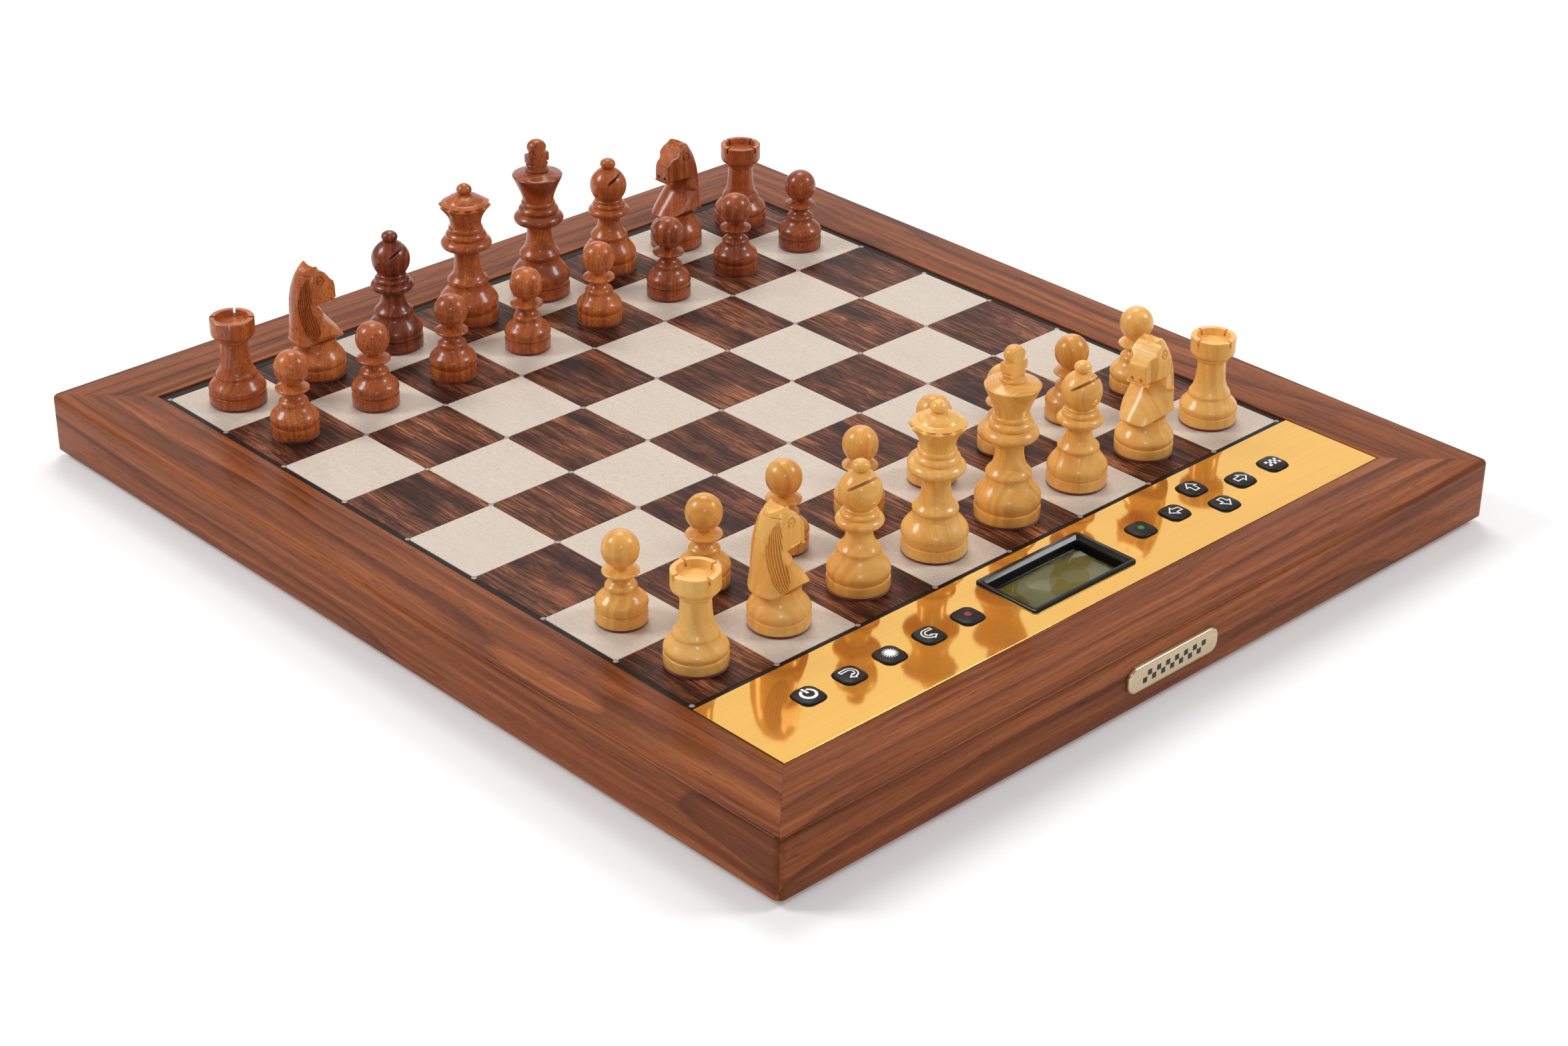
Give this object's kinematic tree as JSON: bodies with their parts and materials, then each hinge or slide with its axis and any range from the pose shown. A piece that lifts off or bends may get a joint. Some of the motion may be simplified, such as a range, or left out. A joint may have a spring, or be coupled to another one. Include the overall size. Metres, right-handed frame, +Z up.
{
  "type": "electronic chess computer",
  "caption": "Electronic chess computer: mitred wood case, veneered board with lamps at the square corners, gold control plate with keys and display, and a loose set of turned wooden men.",
  "frame": {"origin": "centre of the footprint (with the nameplate) on the surface the feet stand on", "axes": "+X from the a-file to the h-file, +Y from the control plate towards the eighth rank, +Z up"},
  "size_m": [0.3594, 0.4048, 0.0916],
  "materials": {
    "rail_walnut": "satin lacquered walnut veneer",
    "board_veneer": "cream and dark striped veneer squares in a black border, satin",
    "boxwood": "turned pale honey wood, satin gloss",
    "rosewood": "turned reddish brown wood with dark pores, satin gloss",
    "gold_plate": "gold anodised, finely brushed and polished",
    "plaque_metal": "pale champagne gold, satin",
    "black_gloss": "piano black",
    "window_clear": "clear polished",
    "lcd_olive": "olive grey liquid crystal panel",
    "key_brown": "satin near-black brown",
    "base_board": "dark painted hardboard",
    "circuit": "green solder mask",
    "socket_black": "moulded black",
    "foot_rubber": "matt black"
  },
  "bodies": {
    "case": {"frame_rail_front": "rail_walnut", "frame_rail_back": "rail_walnut", "frame_rail_left": "rail_walnut", "frame_rail_right": "rail_walnut", "base_panel": "base_board", "playing_board": "board_veneer", "control_plate": "gold_plate", "display_bezel": "black_gloss", "display_window": "window_clear", "lcd_module": "lcd_olive", "nameplate": "plaque_metal", "main_board": "circuit", "power_socket": "socket_black", "foot_front_left": "foot_rubber", "foot_front_right": "foot_rubber", "foot_back_left": "foot_rubber", "foot_back_right": "foot_rubber"},
    "button_power": {"button_power": "key_brown"},
    "button_take_back": {"button_take_back": "key_brown"},
    "button_light": {"button_light": "key_brown"},
    "button_replay": {"button_replay": "key_brown"},
    "button_red": {"button_red": "key_brown"},
    "button_green": {"button_green": "key_brown"},
    "button_left": {"button_left": "key_brown"},
    "button_up": {"button_up": "key_brown"},
    "button_down": {"button_down": "key_brown"},
    "button_right": {"button_right": "key_brown"},
    "button_restart": {"button_restart": "key_brown"},
    "light_rook_a": {"light_rook_a": "boxwood"},
    "light_knight_b": {"light_knight_b": "boxwood"},
    "light_bishop_c": {"light_bishop_c": "boxwood"},
    "light_queen": {"light_queen": "boxwood"},
    "light_king": {"light_king": "boxwood"},
    "light_bishop_f": {"light_bishop_f": "boxwood"},
    "light_knight_g": {"light_knight_g": "boxwood"},
    "light_rook_h": {"light_rook_h": "boxwood"},
    "dark_rook_a": {"dark_rook_a": "rosewood"},
    "dark_knight_b": {"dark_knight_b": "rosewood"},
    "dark_bishop_c": {"dark_bishop_c": "rosewood"},
    "dark_queen": {"dark_queen": "rosewood"},
    "dark_king": {"dark_king": "rosewood"},
    "dark_bishop_f": {"dark_bishop_f": "rosewood"},
    "dark_knight_g": {"dark_knight_g": "rosewood"},
    "dark_rook_h": {"dark_rook_h": "rosewood"},
    "light_pawn_a": {"light_pawn_a": "boxwood"},
    "light_pawn_b": {"light_pawn_b": "boxwood"},
    "light_pawn_c": {"light_pawn_c": "boxwood"},
    "light_pawn_d": {"light_pawn_d": "boxwood"},
    "light_pawn_e": {"light_pawn_e": "boxwood"},
    "light_pawn_f": {"light_pawn_f": "boxwood"},
    "light_pawn_g": {"light_pawn_g": "boxwood"},
    "light_pawn_h": {"light_pawn_h": "boxwood"},
    "dark_pawn_a": {"dark_pawn_a": "rosewood"},
    "dark_pawn_b": {"dark_pawn_b": "rosewood"},
    "dark_pawn_c": {"dark_pawn_c": "rosewood"},
    "dark_pawn_d": {"dark_pawn_d": "rosewood"},
    "dark_pawn_e": {"dark_pawn_e": "rosewood"},
    "dark_pawn_f": {"dark_pawn_f": "rosewood"},
    "dark_pawn_g": {"dark_pawn_g": "rosewood"},
    "dark_pawn_h": {"dark_pawn_h": "rosewood"}
  },
  "joints": [
    {"name": "button_power_press", "type": "slide", "parent": "case", "child": "button_power", "axis": [0, 0, -1], "range_m": [0, 0.0008], "stiffness_N_per_m": 1200, "springref_m": -0.0005},
    {"name": "button_take_back_press", "type": "slide", "parent": "case", "child": "button_take_back", "axis": [0, 0, -1], "range_m": [0, 0.0008], "stiffness_N_per_m": 1200, "springref_m": -0.0005},
    {"name": "button_light_press", "type": "slide", "parent": "case", "child": "button_light", "axis": [0, 0, -1], "range_m": [0, 0.0008], "stiffness_N_per_m": 1200, "springref_m": -0.0005},
    {"name": "button_replay_press", "type": "slide", "parent": "case", "child": "button_replay", "axis": [0, 0, -1], "range_m": [0, 0.0008], "stiffness_N_per_m": 1200, "springref_m": -0.0005},
    {"name": "button_red_press", "type": "slide", "parent": "case", "child": "button_red", "axis": [0, 0, -1], "range_m": [0, 0.0008], "stiffness_N_per_m": 1200, "springref_m": -0.0005},
    {"name": "button_green_press", "type": "slide", "parent": "case", "child": "button_green", "axis": [0, 0, -1], "range_m": [0, 0.0008], "stiffness_N_per_m": 1200, "springref_m": -0.0005},
    {"name": "button_left_press", "type": "slide", "parent": "case", "child": "button_left", "axis": [0, 0, -1], "range_m": [0, 0.0008], "stiffness_N_per_m": 1200, "springref_m": -0.0005},
    {"name": "button_up_press", "type": "slide", "parent": "case", "child": "button_up", "axis": [0, 0, -1], "range_m": [0, 0.0008], "stiffness_N_per_m": 1200, "springref_m": -0.0005},
    {"name": "button_down_press", "type": "slide", "parent": "case", "child": "button_down", "axis": [0, 0, -1], "range_m": [0, 0.0008], "stiffness_N_per_m": 1200, "springref_m": -0.0005},
    {"name": "button_right_press", "type": "slide", "parent": "case", "child": "button_right", "axis": [0, 0, -1], "range_m": [0, 0.0008], "stiffness_N_per_m": 1200, "springref_m": -0.0005},
    {"name": "button_restart_press", "type": "slide", "parent": "case", "child": "button_restart", "axis": [0, 0, -1], "range_m": [0, 0.0008], "stiffness_N_per_m": 1200, "springref_m": -0.0005},
    {"name": "light_rook_a_lift", "type": "slide", "parent": "case", "child": "light_rook_a", "axis": [0, 0, 1], "range_m": [0, 0.1]},
    {"name": "light_knight_b_lift", "type": "slide", "parent": "case", "child": "light_knight_b", "axis": [0, 0, 1], "range_m": [0, 0.1]},
    {"name": "light_bishop_c_lift", "type": "slide", "parent": "case", "child": "light_bishop_c", "axis": [0, 0, 1], "range_m": [0, 0.1]},
    {"name": "light_queen_lift", "type": "slide", "parent": "case", "child": "light_queen", "axis": [0, 0, 1], "range_m": [0, 0.1]},
    {"name": "light_king_lift", "type": "slide", "parent": "case", "child": "light_king", "axis": [0, 0, 1], "range_m": [0, 0.1]},
    {"name": "light_bishop_f_lift", "type": "slide", "parent": "case", "child": "light_bishop_f", "axis": [0, 0, 1], "range_m": [0, 0.1]},
    {"name": "light_knight_g_lift", "type": "slide", "parent": "case", "child": "light_knight_g", "axis": [0, 0, 1], "range_m": [0, 0.1]},
    {"name": "light_rook_h_lift", "type": "slide", "parent": "case", "child": "light_rook_h", "axis": [0, 0, 1], "range_m": [0, 0.1]},
    {"name": "dark_rook_a_lift", "type": "slide", "parent": "case", "child": "dark_rook_a", "axis": [0, 0, 1], "range_m": [0, 0.1]},
    {"name": "dark_knight_b_lift", "type": "slide", "parent": "case", "child": "dark_knight_b", "axis": [0, 0, 1], "range_m": [0, 0.1]},
    {"name": "dark_bishop_c_lift", "type": "slide", "parent": "case", "child": "dark_bishop_c", "axis": [0, 0, 1], "range_m": [0, 0.1]},
    {"name": "dark_queen_lift", "type": "slide", "parent": "case", "child": "dark_queen", "axis": [0, 0, 1], "range_m": [0, 0.1]},
    {"name": "dark_king_lift", "type": "slide", "parent": "case", "child": "dark_king", "axis": [0, 0, 1], "range_m": [0, 0.1]},
    {"name": "dark_bishop_f_lift", "type": "slide", "parent": "case", "child": "dark_bishop_f", "axis": [0, 0, 1], "range_m": [0, 0.1]},
    {"name": "dark_knight_g_lift", "type": "slide", "parent": "case", "child": "dark_knight_g", "axis": [0, 0, 1], "range_m": [0, 0.1]},
    {"name": "dark_rook_h_lift", "type": "slide", "parent": "case", "child": "dark_rook_h", "axis": [0, 0, 1], "range_m": [0, 0.1]},
    {"name": "light_pawn_a_lift", "type": "slide", "parent": "case", "child": "light_pawn_a", "axis": [0, 0, 1], "range_m": [0, 0.1]},
    {"name": "light_pawn_b_lift", "type": "slide", "parent": "case", "child": "light_pawn_b", "axis": [0, 0, 1], "range_m": [0, 0.1]},
    {"name": "light_pawn_c_lift", "type": "slide", "parent": "case", "child": "light_pawn_c", "axis": [0, 0, 1], "range_m": [0, 0.1]},
    {"name": "light_pawn_d_lift", "type": "slide", "parent": "case", "child": "light_pawn_d", "axis": [0, 0, 1], "range_m": [0, 0.1]},
    {"name": "light_pawn_e_lift", "type": "slide", "parent": "case", "child": "light_pawn_e", "axis": [0, 0, 1], "range_m": [0, 0.1]},
    {"name": "light_pawn_f_lift", "type": "slide", "parent": "case", "child": "light_pawn_f", "axis": [0, 0, 1], "range_m": [0, 0.1]},
    {"name": "light_pawn_g_lift", "type": "slide", "parent": "case", "child": "light_pawn_g", "axis": [0, 0, 1], "range_m": [0, 0.1]},
    {"name": "light_pawn_h_lift", "type": "slide", "parent": "case", "child": "light_pawn_h", "axis": [0, 0, 1], "range_m": [0, 0.1]},
    {"name": "dark_pawn_a_lift", "type": "slide", "parent": "case", "child": "dark_pawn_a", "axis": [0, 0, 1], "range_m": [0, 0.1]},
    {"name": "dark_pawn_b_lift", "type": "slide", "parent": "case", "child": "dark_pawn_b", "axis": [0, 0, 1], "range_m": [0, 0.1]},
    {"name": "dark_pawn_c_lift", "type": "slide", "parent": "case", "child": "dark_pawn_c", "axis": [0, 0, 1], "range_m": [0, 0.1]},
    {"name": "dark_pawn_d_lift", "type": "slide", "parent": "case", "child": "dark_pawn_d", "axis": [0, 0, 1], "range_m": [0, 0.1]},
    {"name": "dark_pawn_e_lift", "type": "slide", "parent": "case", "child": "dark_pawn_e", "axis": [0, 0, 1], "range_m": [0, 0.1]},
    {"name": "dark_pawn_f_lift", "type": "slide", "parent": "case", "child": "dark_pawn_f", "axis": [0, 0, 1], "range_m": [0, 0.1]},
    {"name": "dark_pawn_g_lift", "type": "slide", "parent": "case", "child": "dark_pawn_g", "axis": [0, 0, 1], "range_m": [0, 0.1]},
    {"name": "dark_pawn_h_lift", "type": "slide", "parent": "case", "child": "dark_pawn_h", "axis": [0, 0, 1], "range_m": [0, 0.1]}
  ]
}
